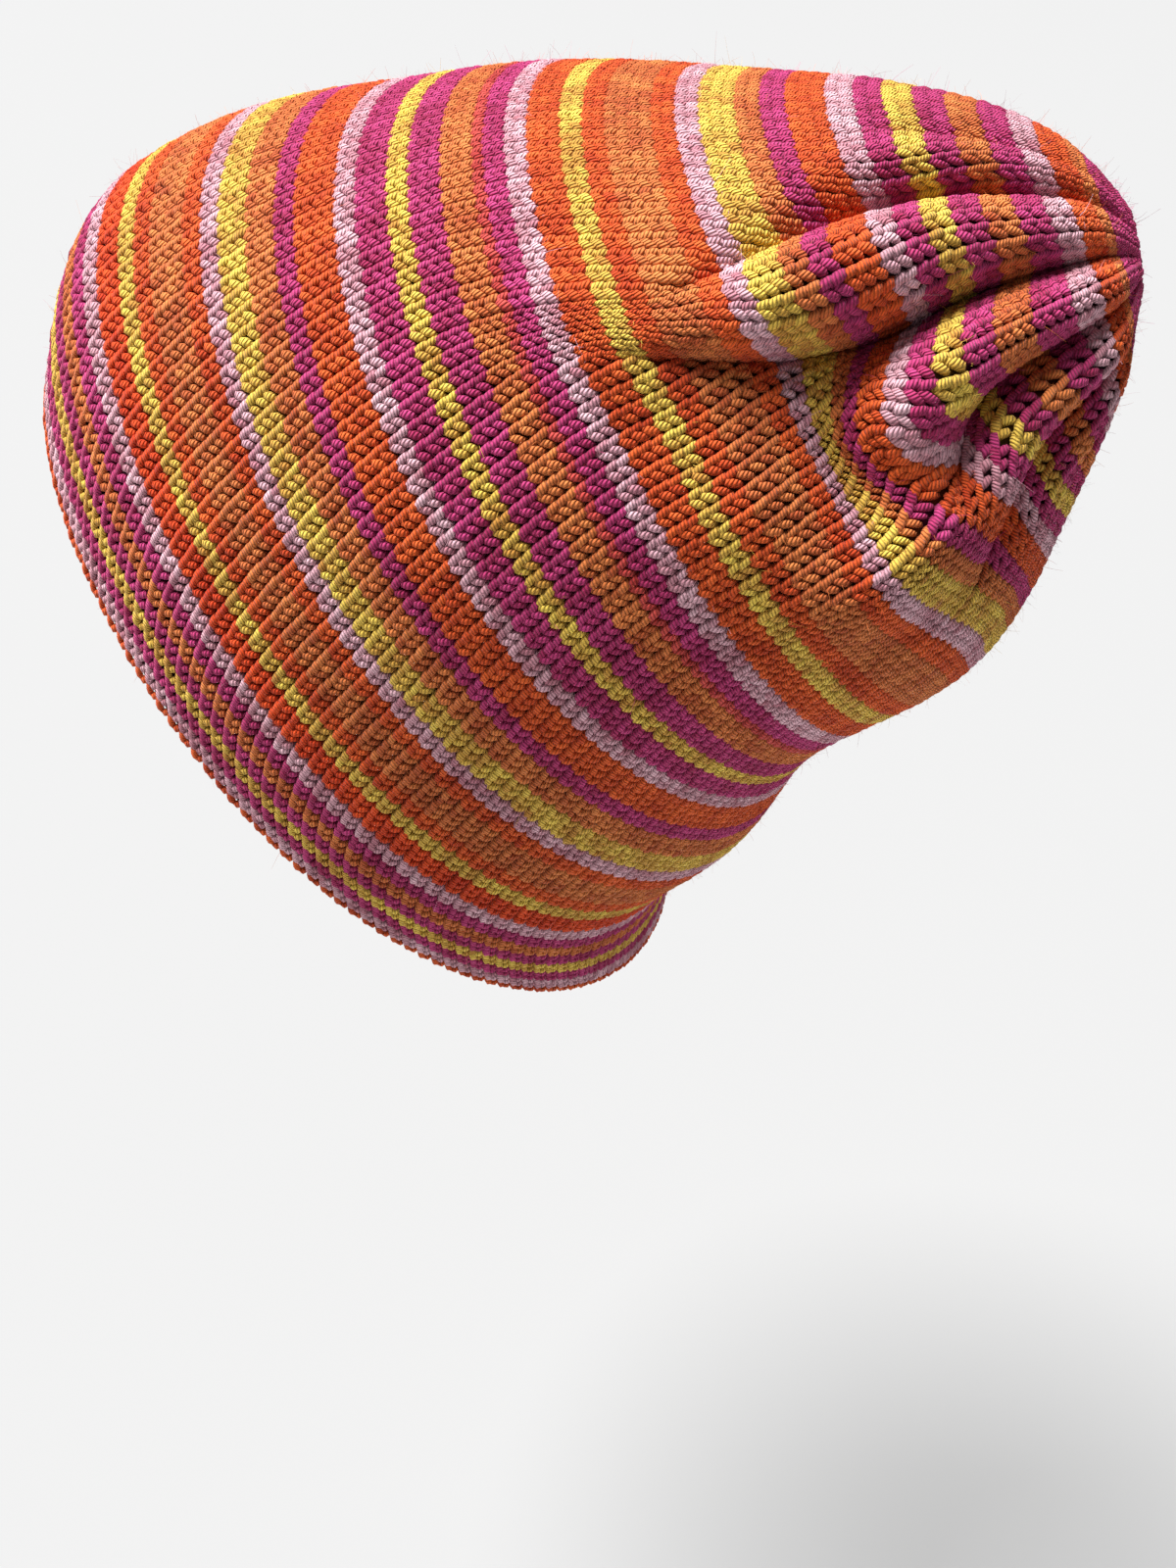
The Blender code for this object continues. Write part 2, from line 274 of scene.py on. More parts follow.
def swell(distance, half_width):
    """1 at the middle, falling to 0 at half_width on both sides."""
    return np.cos(np.clip(np.abs(distance) / half_width, 0, 1) * math.pi / 2) ** 2


def turn(degrees):
    """The same angle between -180 and 180."""
    return (degrees + 180) % 360 - 180


def valley_lines(row):
    """Angles and depths of all valleys at each row, with the first one repeated a full turn on."""
    start, end, first, full, depth = (column(VALLEYS, VALLEY_COLUMNS, name) for name in VALLEY_COLUMNS)
    opened = ease((np.asarray(row, dtype=float)[..., None] - first) / (full - first))
    angles = start + (end - start) * opened
    depths = depth * opened
    angles = np.concatenate([angles, angles[..., :1] + 360], axis=-1)
    return angles, np.concatenate([depths, depths[..., :1]], axis=-1)


def pleat_share(row, degrees):
    """Radius left by the pleats, as a share: round ridges that meet in sharp valleys."""
    row, degrees = np.broadcast_arrays(np.asarray(row, dtype=float), np.asarray(degrees, dtype=float))
    angles, depths = valley_lines(row)
    degrees = angles[..., 0] + (degrees - angles[..., 0]) % 360
    pleat = np.clip((degrees[..., None] >= angles).sum(axis=-1) - 1, 0, len(VALLEYS) - 1)[..., None]
    low = np.take_along_axis(angles, pleat, -1)[..., 0]
    high = np.take_along_axis(angles, pleat + 1, -1)[..., 0]
    low_depth = np.take_along_axis(depths, pleat, -1)[..., 0]
    high_depth = np.take_along_axis(depths, pleat + 1, -1)[..., 0]
    across = np.clip((2 * degrees - low - high) / (high - low), -1, 1)
    depth = low_depth + (high_depth - low_depth) * ease((across + 1) / 2)
    arch = (1 - np.abs(across) ** PLEAT_ROUNDNESS) ** (1 / PLEAT_ROUNDNESS)
    return 1 - depth * (1 - arch)


def radius_share(row, degrees):
    """Radius left by pleats, dents and swells together."""
    share = pleat_share(row, degrees)
    for dent in named(DENTS, DENT_COLUMNS):
        along = swell(row - dent["row"], dent["half_rows"])
        share = share - dent["depth"] * along * swell(turn(degrees - dent["angle"]), dent["half_angle"])
    return share


def lagged_row(row, degrees):
    """The section that a knitted row lies on once the slack has pulled it."""
    section = row + 0.0 * degrees
    for lag in named(LAGS, LAG_COLUMNS):
        along = swell(row - lag["row"], lag["half_rows"])
        section = section - lag["rows"] * along * swell(turn(degrees - lag["angle"]), lag["half_angle"])
    return section


def section_sizes(section):
    """Centre, slope and half sizes of the oval at each section, in metres and radians."""
    value = {name: curve(section) for name, curve in SECTION_CURVES.items()}
    slope = np.radians(RIM_SLOPE + value["lean"])
    width = RIM_WIDTH / 2 * value["half_width"]
    length = RIM_LENGTH / 2 * value["half_length"]
    drop = RIM_WIDTH / 2 * value["ear_drop"]
    return BACK_REACH * value["back"], TIP_RISE * value["up"], slope, width, length, value["brow_taper"], drop


def wall_slant(section):
    """How much longer the wall is across the oval than square to the cloth, where the sections shrink fast."""
    near, far = section_sizes(section - 1), section_sizes(section + 1)
    shrink = (near[3] + near[4] - far[3] - far[4]) / 2
    advance = np.hypot(far[0] - near[0], far[1] - near[1])
    return np.clip(np.hypot(1, shrink / advance), 1, MOST_SLANT)


def place(section, degrees, share):
    """A point of the cloth, where share scales the oval's radius."""
    back, up, slope, width, length, taper, drop = section_sizes(section)
    angle = np.radians(degrees)
    across = width * np.cos(angle) * (1 - taper * np.sin(angle)) * share
    along = length * np.sin(angle) * share
    rise = -drop * np.cos(angle) ** 2
    y = back - np.cos(slope) * along + np.sin(slope) * rise
    z = up + np.sin(slope) * along + np.cos(slope) * rise
    return np.stack([across, y, z], axis=-1)


def outer_point(row, degrees):
    """A point on the outside of the knit."""
    return place(lagged_row(row, degrees), degrees, radius_share(row, degrees))


def inner_point(row, degrees, wall):
    """A point on the inside, a wall's thickness in from the nearest outside."""
    section = lagged_row(row, degrees)
    _, _, _, width, length, _, _ = section_sizes(section)
    radius = np.sqrt(width * length)
    wall = wall * wall_slant(section)
    reach = np.degrees(wall / radius)
    share = np.full(np.shape(section), np.inf)
    for step in np.linspace(-1, 1, EROSION_STEPS):
        thickness = wall * math.sqrt(1 - step * step)
        share = np.minimum(share, radius_share(row, degrees + step * reach) - thickness / radius)
    return place(section, degrees, share)


def arc_share(points):
    """Length along a line of points up to each one."""
    return np.concatenate([[0.0], np.cumsum(np.linalg.norm(np.diff(points, axis=0), axis=1))])


def valley_wales(row, share):
    """Number of the wale that lies in each valley at one row, if the wales are evenly spread over the oval, or over
    the pleats where share is None."""
    valleys, _ = valley_lines(np.array(row))
    degrees = np.linspace(valleys[:-1], valleys[1:], PLEAT_SAMPLES, axis=-1)
    rows = np.full(degrees.shape, row)
    points = outer_point(rows, degrees) if share is None else place(rows, degrees, share)
    steps = np.linalg.norm(np.diff(points, axis=1), axis=-1)
    length = np.concatenate([[0.0], np.cumsum(steps)])
    round_angles = np.concatenate([degrees[:, :-1].ravel(), valleys[-1:]])
    wale = length / length[-1] * WALES
    return np.interp(valleys, round_angles, wale) - np.interp(TOP_ANGLE, round_angles, wale)


GATHERED_WALES = (
    PLEATED_SHARE * valley_wales(GATHER_ROW, None) + (1 - PLEATED_SHARE) * valley_wales(FORMING_ROW, 1.0)
)


def wale_angles(row):
    """Angle round the section of each grid wale at one row: evenly spread over the smooth cloth, and once the pleats
    form at their slack width over the ridges, with the rest crowded or stretched in the valleys."""
    row = float(np.clip(row, 0, TIP_ROW))
    valleys, depths = valley_lines(np.array(row))
    folded = ease((depths[:-1] + depths[1:]) / (2 * FOLDED_DEPTH))
    first, last = GATHER_ROWS
    gathered = ease((row - first) / (last - first))
    borders = valley_wales(row, 1.0) * (1 - gathered) + GATHERED_WALES * gathered
    degrees, wale = [], []
    for pleat, (low, high) in enumerate(zip(valleys[:-1], valleys[1:])):
        inside = np.linspace(low, high, PLEAT_SAMPLES)
        length = arc_share(outer_point(np.full(inside.shape, row), inside))
        count = borders[pleat + 1] - borders[pleat]
        room = min(MOST_ROOM, 1 + (length[-1] / (count * SLACK_PITCH) - 1) * folded[pleat])
        x = 2 * length / length[-1] - 1
        if room >= 1:
            spread = np.sign(x) * (1 - (1 - np.abs(x)) ** room)
        else:
            spread = x * room + np.sign(x) * (1 - room) * np.abs(x) ** GATHER_SHARPNESS
        degrees.append(inside[:-1])
        wale.append((borders[pleat] + count * (spread + 1) / 2)[:-1])
    degrees = np.concatenate(degrees + [[valleys[-1]]])
    wale = np.concatenate(wale + [[borders[-1]]])
    fade_angles, fade_shares = zip(*DRIFT_FADES)
    from_first = (degrees - fade_angles[0]) % 360 + fade_angles[0]
    fade = ease(np.interp(from_first, fade_angles, fade_shares))
    wale = wale - np.interp(row, DRIFT_ROWS, DRIFT_WALES) * fade
    targets = wale[0] + (GRID_WALES - wale[0]) % WALES
    return np.interp(targets, wale, degrees)


ANGLES = np.array([wale_angles(row) for row in GRID_ROWS])
CLOTH = outer_point(np.broadcast_to(np.clip(GRID_ROWS, 0, TIP_ROW)[:, None], ANGLES.shape), ANGLES)


def extend(points, rows, first, last):
    """Runs the cloth on past its first row by reflecting it, and past its last row into the sunk tip."""
    base, tip = np.searchsorted(rows, first), np.searchsorted(rows, last)
    for i in np.nonzero(rows < first)[0]:
        mirror = np.searchsorted(rows, 2 * first - rows[i])
        points[i] = 2 * points[base] - points[mirror]
    slope = section_sizes(last)[2]
    axis = np.array([0.0, math.sin(slope), math.cos(slope)])
    middle = points[tip].mean(axis=0)
    for i in np.nonzero(rows > last)[0]:
        inward = (rows[i] - last) / TUCK_ROWS
        share = 1 - (1 - TUCK_MOUTH) * inward
        points[i] = middle + (points[tip] - middle) * share - axis * TUCK_DEPTH * ease(TUCK_STEEPNESS * inward)
    return points


CLOTH = extend(CLOTH, GRID_ROWS, 0.0, TIP_ROW)
ALONG = np.gradient(CLOTH, ROW_STEP, axis=0)
ACROSS = (np.roll(CLOTH, -1, axis=1) - np.roll(CLOTH, 1, axis=1)) / (2 * WALE_STEP)
NORMAL = np.cross(ACROSS, ALONG)
NORMAL /= np.linalg.norm(NORMAL, axis=-1, keepdims=True)
OUTWARD = CLOTH - CLOTH.mean(axis=1, keepdims=True)
if (NORMAL * OUTWARD).sum(axis=-1).mean() < 0:
    NORMAL = -NORMAL
PITCH = np.linalg.norm(ACROSS, axis=-1)
ROW_HEIGHT = np.linalg.norm(ALONG, axis=-1)


def sample(grid, row, wale):
    """Reads a grid of the cloth between its points, at any row and wale."""
    r = np.clip((row - FIRST_ROW) / ROW_STEP, 0, len(GRID_ROWS) - 1.001)
    c = (wale % WALES) / WALE_STEP
    r0, c0 = r.astype(int), c.astype(int) % len(GRID_WALES)
    c1 = (c0 + 1) % len(GRID_WALES)
    fr, fc = r - r0, c - np.floor(c)
    if grid.ndim == 3:
        fr, fc = fr[..., None], fc[..., None]
    low = grid[r0, c0] * (1 - fc) + grid[r0, c1] * fc
    high = grid[r0 + 1, c0] * (1 - fc) + grid[r0 + 1, c1] * fc
    return low * (1 - fr) + high * fr


def unit(vectors):
    """Vectors scaled to length 1."""
    return vectors / np.maximum(np.linalg.norm(vectors, axis=-1, keepdims=True), 1e-12)


def legs(rows, wales, spans, table, room, random):
    """Points of one kind of leg at each stitch, stations along it by points round its upper side, and how high each
    one stands over the cloth, as a share of the highest."""
    across, up, height, half = (column(table, LEG_COLUMNS, name) for name in LEG_COLUMNS)
    count = len(rows)
    jitter = random.normal(0, 1, (count, 4))
    wale = wales[:, None] + across[None, :] + WANDER_ACROSS * jitter[:, :1]
    row = rows[:, None] + (up[None, :] + WANDER_UP * jitter[:, 1:2]) * spans[:, None]
    pitch = sample(PITCH, rows, wales + 0.5)
    rise = sample(ROW_HEIGHT, rows, wales + 0.5) * spans
    radius = np.clip(np.minimum(room[0] * pitch, room[1] * rise), *YARN_RADII)[:, None]
    radius = radius * (1 + UNEVEN_RADIUS * jitter[:, 2:3])
    normal = unit(sample(NORMAL, row, wale))
    lifted = height[None, :] * radius + UNEVEN_HEIGHT * jitter[:, 3:4]
    centre = sample(CLOTH, row, wale) + normal * lifted[..., None]
    tangent = unit(np.gradient(centre, axis=1))
    side = unit(np.cross(normal, tangent))
    lift = np.cross(tangent, side)
    lift = lift * np.sign((lift * normal).sum(axis=-1, keepdims=True))
    width = (half[None, :] * radius)[..., None, None]
    ring = np.cos(AROUND)[None, None, :, None] * side[:, :, None, :] * width
    ring = ring + np.sin(AROUND)[None, None, :, None] * lift[:, :, None, :] * width * YARN_FLATNESS
    above = (height[:, None] + np.sin(AROUND)[None, :] * half[:, None] * YARN_FLATNESS) / HIGHEST
    return centre[:, :, None, :] + ring, np.broadcast_to(above[None], (count, *above.shape))


def leg_faces(count, stations, around):
    """Faces of many legs, in the order that legs gives their points."""
    one = []
    for i in range(stations - 1):
        for j in range(around - 1):
            a = i * around + j
            one.append((a, a + 1, a + around + 1, a + around))
    one = np.array(one)
    return (one[None] + (np.arange(count) * stations * around)[:, None, None]).reshape(-1, 4)


def make_mesh(name, points, faces, materials, slots=None, uv=None, values=None):
    """A smooth-shaded mesh object with its materials, yarn coordinates and named values at its points."""
    data = bpy.data.meshes.new(name)
    data.from_pydata([], [], [])
    data.vertices.add(len(points))
    data.vertices.foreach_set("co", np.asarray(points, dtype=np.float32).ravel())
    faces = np.asarray(faces)
    data.loops.add(faces.size)
    data.loops.foreach_set("vertex_index", faces.ravel().astype(np.int32))
    data.polygons.add(len(faces))
    data.polygons.foreach_set("loop_start", np.arange(0, faces.size, faces.shape[1], dtype=np.int32))
    for material in materials:
        data.materials.append(material)
    data.update(calc_edges=True)
    if slots is not None:
        data.polygons.foreach_set("material_index", np.asarray(slots, dtype=np.int32))
    if uv is not None:
        layer = data.uv_layers.new(name="yarn")
        layer.data.foreach_set("uv", np.asarray(uv, dtype=np.float32)[faces.ravel()].ravel())
    for label, value in (values or {}).items():
        attribute = data.attributes.new(label, "FLOAT", "POINT")
        attribute.data.foreach_set("value", np.asarray(value, dtype=np.float32))
    data.shade_smooth()
    data.validate()
    thing = bpy.data.objects.new(name, data)
    bpy.context.scene.collection.objects.link(thing)
    return thing


def node(tree, kind, x, y, inputs=None, **values):
    """Adds a shader node, and sets its plain properties and the values of its sockets."""
    made = tree.nodes.new(kind)
    made.location = (x, y)
    for key, value in values.items():
        setattr(made, key, value)
    for socket, value in (inputs or {}).items():
        made.inputs[socket].default_value = value
    return made


def new_material(name, colour, inputs):
    """A material of one plain colour, for its pattern to be linked to, with its node tree and shader."""
    material = bpy.data.materials.new(name)
    material.use_nodes = True
    material.diffuse_color = (*colour, 1.0)
    shader = material.node_tree.nodes["Principled BSDF"]
    shader.inputs["Base Color"].default_value = (*colour, 1.0)
    for socket, value in inputs.items():
        shader.inputs[socket].default_value = value
    return material, material.node_tree, shader


def dye_and_shade_ramp(tree, x, y, colour, ends, dark, light):
    """A ramp from the darkest to the lightest dye of one colour, between two values of its input; for the ground its
    ends also hold painted shade.
    """
    ramp = node(tree, "ShaderNodeValToRGB", x, y)
    for element, position, shares in zip(ramp.color_ramp.elements, ends, (dark, light)):
        element.position = position
        element.color = (*[min(1.0, c * share) for c, share in zip(colour, shares)], 1.0)
    return ramp


def map_range(tree, x, y, source, low, high, to_low, to_high):
    """Maps the range low to high of a socket's value to another one."""
    ends = {"From Min": low, "From Max": high, "To Min": to_low, "To Max": to_high}
    made = node(tree, "ShaderNodeMapRange", x, y, ends)
    tree.links.new(source, made.inputs["Value"])
    return made


def math_node(tree, x, y, operation, *sources):
    """A sum of sockets and numbers, in the order of the operation's inputs."""
    made = node(tree, "ShaderNodeMath", x, y, operation=operation)
    for place_in, source in enumerate(sources):
        if isinstance(source, (int, float)):
            made.inputs[place_in].default_value = source
        else:
            tree.links.new(source, made.inputs[place_in])
    return made.outputs["Value"]


def finish_yarn(tree, shader, colour, shade, height, strength, distance):
    """Darkens a colour by a shade, and raises the surface by a height."""
    link = tree.links.new
    shaded = node(tree, "ShaderNodeMix", -360, 120, {"Factor": 1.0}, data_type="RGBA", blend_type="MULTIPLY")
    link(colour, shaded.inputs["A"])
    link(shade, shaded.inputs["B"])
    link(shaded.outputs["Result"], shader.inputs["Base Color"])
    raise_surface(tree, shader, height, strength, distance)


def raise_surface(tree, shader, height, strength, distance):
    """Bumps the surface by a height."""
    bump = node(tree, "ShaderNodeBump", -220, -260, {"Strength": strength, "Distance": distance})
    tree.links.new(height, bump.inputs["Height"])
    tree.links.new(bump.outputs["Normal"], shader.inputs["Normal"])


def yarn_material(name, colour, ground=False):
    """Plied wool: twisted strands, a fibre grain, and dye that varies from stitch to stitch, with painted shade in
    the strands' grooves and on the yarn's sides. The ground under the stitches is the same wool, painted dark as the
    shade between them, without the strands."""
    material, tree, shader = new_material(name, colour, {
        "Roughness": 0.85,
        "Specular IOR Level": 0.22,
        "Sheen Weight": 0.12,
        "Sheen Roughness": 0.45,
        "Sheen Tint": (*[0.5 + 0.5 * c for c in colour], 1.0),
    })
    link = tree.links.new
    where = node(tree, "ShaderNodeTexCoord", -1500, 0).outputs["Object"]
    blotch = node(tree, "ShaderNodeTexNoise", -1250, 300, {"Scale": 140.0, "Detail": 2.0})
    link(where, blotch.inputs["Vector"])
    tint = node(tree, "ShaderNodeAttribute", -1250, 60, attribute_name="tint")
    total = math_node(tree, -1030, 200, "ADD", blotch.outputs["Fac"], tint.outputs["Fac"])
    # For the ground the ramp's ends are darkened as painted shade between the stitches
    dye_and_shade_ends = (GROUND_SHADED_DARK_DYE, GROUND_SHADED_LIGHT_DYE) if ground else (YARN_DARK, YARN_LIGHT)
    ramp = dye_and_shade_ramp(tree, -820, 200, colour, (0.22, 0.78), *dye_and_shade_ends)
    link(total, ramp.inputs["Fac"])
    fibre = node(tree, "ShaderNodeTexNoise", -1250, -420, {"Scale": 2600.0, "Detail": 2.0})
    link(where, fibre.inputs["Vector"])
    if ground:
        link(ramp.outputs["Color"], shader.inputs["Base Color"])
        raise_surface(tree, shader, fibre.outputs["Fac"], strength=0.5, distance=0.0003)
        return material

    # Strands wind round the yarn: the first yarn coordinate runs along it in strands, the second round it
    uv = node(tree, "ShaderNodeUVMap", -1500, -200, uv_map="yarn")
    parts = node(tree, "ShaderNodeSeparateXYZ", -1320, -200)
    link(uv.outputs["UV"], parts.inputs["Vector"])
    wind = math_node(tree, -1140, -160, "ADD", parts.outputs["X"], parts.outputs["Y"])
    wave = math_node(tree, -960, -160, "MULTIPLY", wind, math.pi)
    sine = math_node(tree, -780, -160, "SINE", wave)
    strand = math_node(tree, -600, -160, "ABSOLUTE", sine)
    # Painted shade in the grooves between the strands and a painted highlight on their tops, multiplied into the
    # colour
    painted_strand_shade = map_range(tree, -600, 60, strand, 0.0, 0.62, 0.46, 1.06)

    # The yarn's sides and the ends that dive under the next row see less light than its top
    above = node(tree, "ShaderNodeAttribute", -820, 420, attribute_name="above")
    open_sky = map_range(tree, -600, 420, above.outputs["Fac"], -0.20, 0.90, 0.34, 1.07)
    # Painted shade: the strands' painted shade and highlight times the painted shade of the yarn's sides and of its
    # ends under the next row
    both = math_node(tree, -460, 300, "MULTIPLY", painted_strand_shade.outputs["Result"], open_sky.outputs["Result"])
    height = math_node(tree, -420, -260, "MULTIPLY_ADD", fibre.outputs["Fac"], 0.35, strand)
    finish_yarn(tree, shader, ramp.outputs["Color"], both, height, strength=0.9, distance=0.00028)
    return material


def purl_material(name, colour):
    """The wrong side of the knit: wavy ridges, one to a row, in the same fuzzy yarn, with painted shade between the
    ridges.
    """
    material, tree, shader = new_material(name, colour, {"Roughness": 0.9, "Specular IOR Level": 0.15})
    link = tree.links.new
    uv = node(tree, "ShaderNodeUVMap", -1500, -100, uv_map="yarn")
    parts = node(tree, "ShaderNodeSeparateXYZ", -1320, -100)
    link(uv.outputs["UV"], parts.inputs["Vector"])
    wales = math_node(tree, -1140, 0, "MULTIPLY", parts.outputs["X"], 2 * math.pi)
    sway = math_node(tree, -960, 0, "SINE", wales)
    rows = math_node(tree, -1140, -200, "MULTIPLY", parts.outputs["Y"], 2 * math.pi)
    phase = math_node(tree, -780, -100, "MULTIPLY_ADD", sway, 1.5, rows)
    ridge = math_node(tree, -600, -100, "SINE", phase)
    # Painted shade: the ridges' height also darkens the colour in the troughs between them
    depth = map_range(tree, -420, 60, ridge, -1.0, 0.8, 0.42, 1.0).outputs["Result"]
    where = node(tree, "ShaderNodeTexCoord", -1500, 400)
    fibre = node(tree, "ShaderNodeTexNoise", -1250, 400, {"Scale": 900.0, "Detail": 3.0})
    link(where.outputs["Object"], fibre.inputs["Vector"])
    ramp = dye_and_shade_ramp(tree, -900, 400, colour, (0.25, 0.75), YARN_DARK, YARN_LIGHT)
    link(fibre.outputs["Fac"], ramp.inputs["Fac"])
    finish_yarn(tree, shader, ramp.outputs["Color"], depth, depth, strength=0.9, distance=0.0007)
    return material


def yarn_numbers(rows):
    """Number of the yarn that each row is knitted with, which is also its place in a list of materials."""
    numbers = np.array([YARN_NAMES.index(name) for name in ROW_YARNS])
    return numbers[np.clip(rows, 0, len(numbers) - 1).astype(int)]


def stitches(first, last):
    """Row, wale and share of a row of each stitch in the rows first to last."""
    rows, wales = np.meshgrid(np.arange(first, last), np.arange(WALES), indexing="ij")
    rows, wales = rows.ravel().astype(float), wales.ravel().astype(float)
    seen = sample(PITCH, rows, wales + 0.5) > HIDDEN_PITCH
    rows, wales = rows[seen], wales[seen]
    filled = np.clip(np.round(sample(ROW_HEIGHT, rows, wales + 0.5) / TALLEST_ROW), 1, MOST_FILLED).astype(int)
    which = np.repeat(np.arange(len(rows)), filled)
    order = np.arange(len(which)) - np.repeat(np.cumsum(filled) - filled, filled)
    spans = 1 / filled[which]
    return rows[which] - 0.5 + (order + 0.5) * spans, wales[which], spans


def knit_band(name, first, last, materials, seed):
    """The stitches of the rows first to last as one piece."""
    random = np.random.default_rng(seed)
    rows, wales, spans = stitches(first, last)
    yarn = yarn_numbers(np.round(rows))
    points, faces, slots, uvs, tints, heights = [], [], [], [], [], []
    offset = 0
    for table, room in ((CORD_LEG, CORD_ROOM), (LOBE_LEG, LOBE_ROOM)):
        leg, above = legs(rows, wales, spans, table, room, random)
        count, stations, around, _ = leg.shape
        face = leg_faces(count, stations, around) + offset
        length = np.linalg.norm(np.diff(leg.mean(axis=2), axis=1), axis=-1)
        along = np.concatenate([np.zeros((count, 1)), np.cumsum(length, axis=1)], axis=1) / STRAND_PITCH
        along = along + random.uniform(0, 1, (count, 1))
        uv = np.empty((count, stations, around, 2))
        uv[..., 0] = along[:, :, None]
        uv[..., 1] = np.linspace(0, STRANDS_ROUND, around)[None, None, :]
        tint = np.broadcast_to(random.normal(0, TINT_SPREAD, (count, 1, 1)), leg.shape[:3])
        points.append(leg.reshape(-1, 3))
        faces.append(face)
        slots.append(np.repeat(yarn, (stations - 1) * (around - 1)))
        uvs.append(uv.reshape(-1, 2))
        tints.append(tint.reshape(-1))
        heights.append(above.reshape(-1))
        offset += count * stations * around
    return make_mesh(name, np.concatenate(points), np.concatenate(faces), materials, np.concatenate(slots),
                     np.concatenate(uvs), {"tint": np.concatenate(tints), "above": np.concatenate(heights)})


def sheet_faces(rows, columns, closed=True):
    """Faces between loops of points, which may end where they began."""
    i, j = np.meshgrid(np.arange(rows - 1), np.arange(columns if closed else columns - 1), indexing="ij")
    k = (j + 1) % columns
    near, far = i * columns, (i + 1) * columns
    return np.stack([near + j, near + k, far + k, far + j], axis=-1).reshape(-1, 4)


materials = [yarn_material("yarn_" + name, colour) for name, colour in YARNS.items()]
grounds = [yarn_material("ground_" + name, colour, ground=True) for name, colour in YARNS.items()]
purls = [purl_material("purl_" + name, colour) for name, colour in YARNS.items()]

for seed, (name, first, last) in enumerate(BANDS):
    piece = knit_band(name, first, last, materials, seed + 1)
    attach(piece, "root")
    if first < HEM_TOP_ROW:
        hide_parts("hem_band")
    else:
        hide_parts("crown")


def ground_sheet():
    """The closed cloth under the stitches, which shows between them, in materials painted dark as the shade between
    the stitches.
    """
    rows = np.arange(-0.5, LAST_ROW + 0.01, 1.0)
    wales = np.arange(0, WALES, 1.0)
    row, wale = np.meshgrid(rows, wales, indexing="ij")
    points = sample(CLOTH, row, wale) - sample(NORMAL, row, wale) * GROUND_DEPTH
    faces = sheet_faces(*row.shape)
    middle = (rows[:-1] + rows[1:]) / 2
    yarn = yarn_numbers(np.round(middle))
    return make_mesh("ground", points.reshape(-1, 3), faces, grounds, np.repeat(yarn, len(wales)))


ground = ground_sheet()
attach(ground, "root")
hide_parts("crown", "hem_band")


def inside_sheet():
    """The wrong side of the knit, from the rim's fold up the inside of the hem and the hollow to its closed end."""
    rows = np.concatenate([np.arange(0, HEM_TOP_ROW, 1.0), HEM_LIP_ROWS, np.arange(19, HOLLOW_END_ROW + 0.5, 1.0)])
    wales = np.arange(WALES + 1.0)
    start = np.zeros_like(wales)
    loops = [sample(CLOTH, start, wales) - sample(NORMAL, start, wales) * GROUND_DEPTH]
    for row in rows:
        angles = wale_angles(row)[:: int(1 / WALE_STEP)]
        angles = np.append(angles, angles[0])
        wall = HEM_WALL if row < HEM_TOP_ROW else KNIT_WALL
        loops.append(inner_point(np.full(angles.shape, row), angles, wall))
    middle = loops[-1][:-1].mean(axis=0)
    loops += [middle + (loops[-1] - middle) * share for share in PURL_CLOSING]
    rows = np.concatenate([[-2.0], rows, HOLLOW_END_ROW + 1.0 + np.arange(len(PURL_CLOSING))])
    loops = np.array(loops)
    faces = sheet_faces(*loops.shape[:2], closed=False)
    centres = (rows[:-1] + rows[1:]) / 2
    yarn = yarn_numbers(np.round(centres))
    uv = np.stack(np.meshgrid(wales, rows), axis=-1).reshape(-1, 2)
    return make_mesh("inside", loops.reshape(-1, 3), faces, purls, np.repeat(yarn, WALES), uv)


inside = inside_sheet()
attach(inside, "root")
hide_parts("crown", "hem_band")


def fuzz(seed):
    """Loose fibres of the yarn, each a thin bent ribbon that stands off the stitches."""
    random = np.random.default_rng(seed)
    row, wale = random.uniform(0, TIP_ROW, FIBRES), random.uniform(0, WALES, FIBRES)
    normal, cloth = unit(sample(NORMAL, row, wale)), sample(CLOTH, row, wale)
    along = unit(sample(ALONG, row, wale))
    side = np.cross(normal, along)
    heading = random.uniform(0, 2 * math.pi, FIBRES)[:, None]
    flat = np.cos(heading) * along + np.sin(heading) * side
    lean = random.uniform(*FIBRE_LEANS, FIBRES)[:, None]
    length = random.uniform(*FIBRE_LENGTH, FIBRES)[:, None] * (LYING_LENGTH + (1 - LYING_LENGTH) * lean)
    bend = random.normal(0, FIBRE_BEND, (FIBRES, 3))
    share = np.linspace(0, 1, FIBRE_STATIONS)[None, :, None]
    start = cloth + normal * YARN_RADII[1] * FIBRE_START
    path = share * length[:, None, :] * (unit(flat + lean * normal)[:, None, :] + share * bend[:, None, :])
    spine = start[:, None, :] + path
    width = unit(np.cross(flat, normal + FIBRE_TWIST * bend))[:, None, :] * FIBRE_WIDTH * (1 - FIBRE_TAPER * share)
    points = np.stack([spine - width / 2, spine + width / 2], axis=2)
    faces = leg_faces(FIBRES, FIBRE_STATIONS, 2)
    yarn = yarn_numbers(row)
    count = FIBRES * FIBRE_STATIONS * 2
    return make_mesh("fuzz", points.reshape(-1, 3), faces, materials, np.repeat(yarn, FIBRE_STATIONS - 1),
                     np.full((count, 2), 0.25), {"tint": np.full(count, FIBRE_TINT), "above": np.ones(count)})


loose = fuzz(len(BANDS) + 1)
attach(loose, "root")
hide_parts("crown", "hem_band")


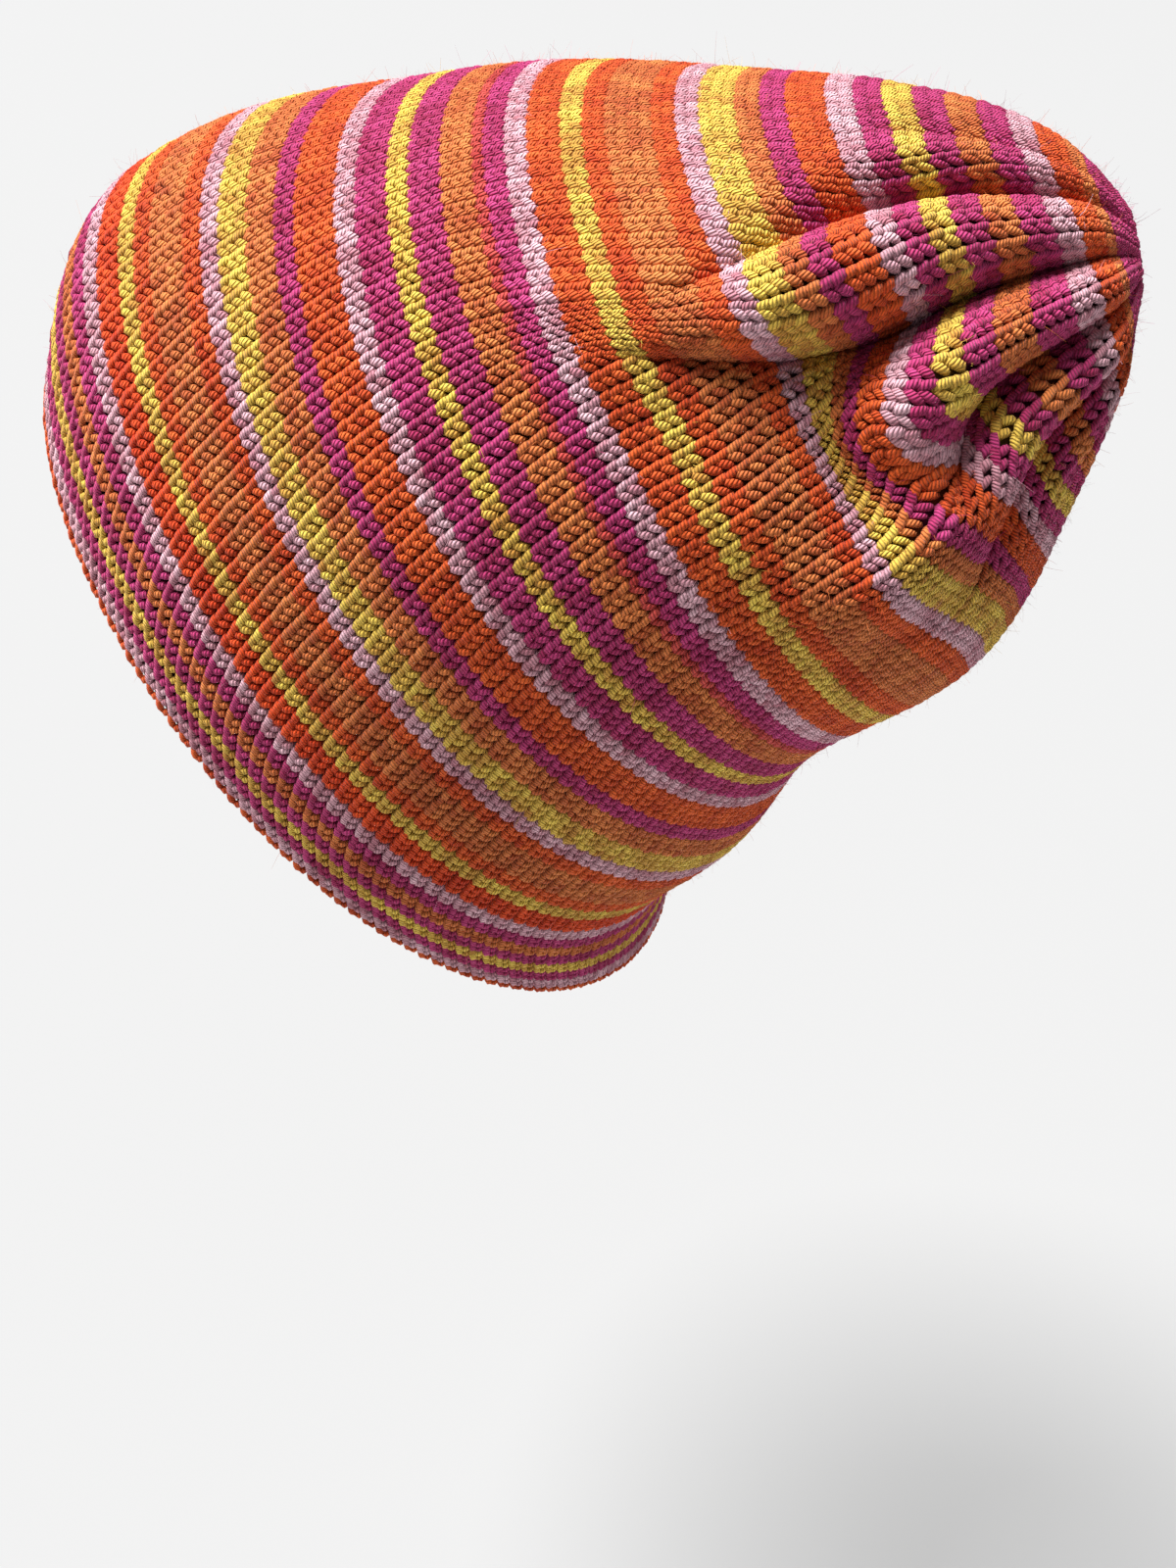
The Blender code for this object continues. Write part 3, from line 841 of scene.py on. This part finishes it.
def plain_material(name, colour, roughness):
    """A plain matt surface for the floor."""
    material = bpy.data.materials.new(name)
    material.use_nodes = True
    shader = material.node_tree.nodes["Principled BSDF"]
    shader.inputs["Base Color"].default_value = (*colour, 1.0)
    shader.inputs["Roughness"].default_value = roughness
    return material


corners = ((-1, -1), (1, -1), (1, 1), (-1, 1))
floor = make_mesh(
    "floor",
    [(x * FLOOR_HALF, y * FLOOR_HALF, FLOOR_HEIGHT) for x, y in corners],
    [(0, 1, 2, 3)],
    [plain_material("floor_paper", FLOOR_COLOUR, FLOOR_ROUGHNESS)],
)

camera_data = bpy.data.cameras.new("camera")
camera_data.lens = CAMERA_LENS
camera_data.sensor_width = CAMERA_SENSOR
camera_data.sensor_fit = "AUTO"
camera_data.clip_start = 0.01
camera = bpy.data.objects.new("camera", camera_data)
bpy.context.scene.collection.objects.link(camera)
azimuth, elevation = math.radians(CAMERA_AZIMUTH), math.radians(CAMERA_ELEVATION)
level = math.cos(elevation)
forward = Vector((-math.sin(azimuth) * level, math.cos(azimuth) * level, -math.sin(elevation)))
right = Vector((math.cos(azimuth), math.sin(azimuth), 0.0))
facing = Matrix((right, right.cross(forward), -forward)).transposed().to_4x4()
camera.matrix_world = Matrix.Translation(Vector(CAMERA_PLACE)) @ facing
bpy.context.scene.camera = camera


def soft_sun(name, toward, strength, spread):
    """An even lamp that shines from one direction, softened by its spread in degrees."""
    lamp = bpy.data.lights.new(name, "SUN")
    lamp.energy = strength
    lamp.angle = math.radians(spread)
    thing = bpy.data.objects.new(name, lamp)
    thing.matrix_world = (-Vector(toward)).to_track_quat("-Z", "Y").to_matrix().to_4x4()
    bpy.context.scene.collection.objects.link(thing)
    return thing


soft_sun("key", SUN_FROM, SUN_STRENGTH, SUN_SPREAD)

world = bpy.data.worlds.new("studio")
bpy.context.scene.world = world
world.use_nodes = True
world.node_tree.nodes["Background"].inputs["Color"].default_value = (1.0, 1.0, 1.0, 1.0)
world.node_tree.nodes["Background"].inputs["Strength"].default_value = SKY_STRENGTH
bpy.context.scene.view_settings.view_transform = "Standard"
